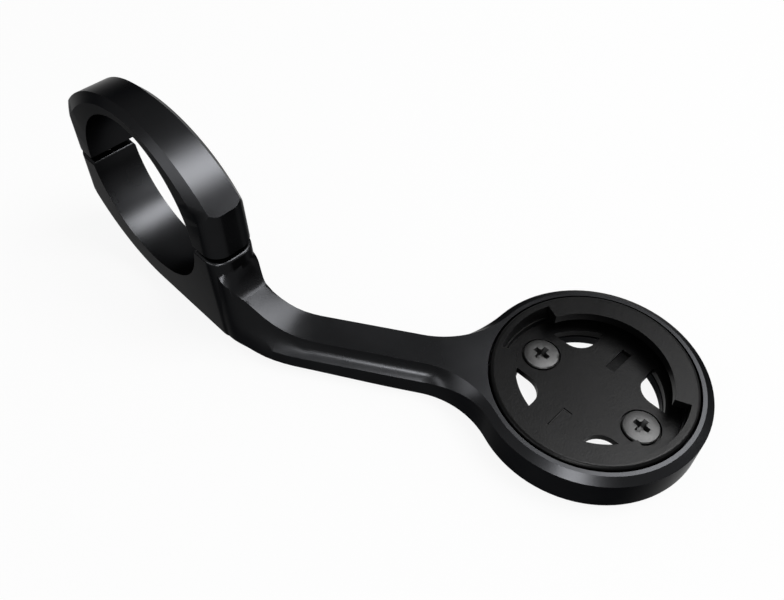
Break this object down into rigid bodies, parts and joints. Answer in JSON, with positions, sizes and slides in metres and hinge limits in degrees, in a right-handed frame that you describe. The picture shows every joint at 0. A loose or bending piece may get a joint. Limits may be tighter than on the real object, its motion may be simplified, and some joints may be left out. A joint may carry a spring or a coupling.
{
  "type": "bike computer mount",
  "caption": "Out-front handlebar mount: split clamp for a round bar, curved fluted arm, and a ring holding a quarter-turn seat for a cycling computer.",
  "frame": {"origin": "centre of the handlebar that the clamp holds, midway along the clamp", "axes": "+X along the handlebar, -Y forward towards the computer, +Z the way the computer faces"},
  "size_m": [0.0566, 0.1187, 0.0398],
  "materials": {
    "black_alloy": "black anodised, satin",
    "black_plastic": "moulded, finely textured",
    "grey_steel": "matt grey",
    "black_steel": "black oxide"
  },
  "bodies": {
    "root": {"arm_body": "black_alloy", "clamp_cap": "black_alloy", "clamp_bolt_front": "black_steel", "clamp_bolt_rear": "black_steel", "mount_insert": "black_plastic", "insert_screw_front": "grey_steel", "insert_screw_rear": "grey_steel"}
  },
  "joints": []
}
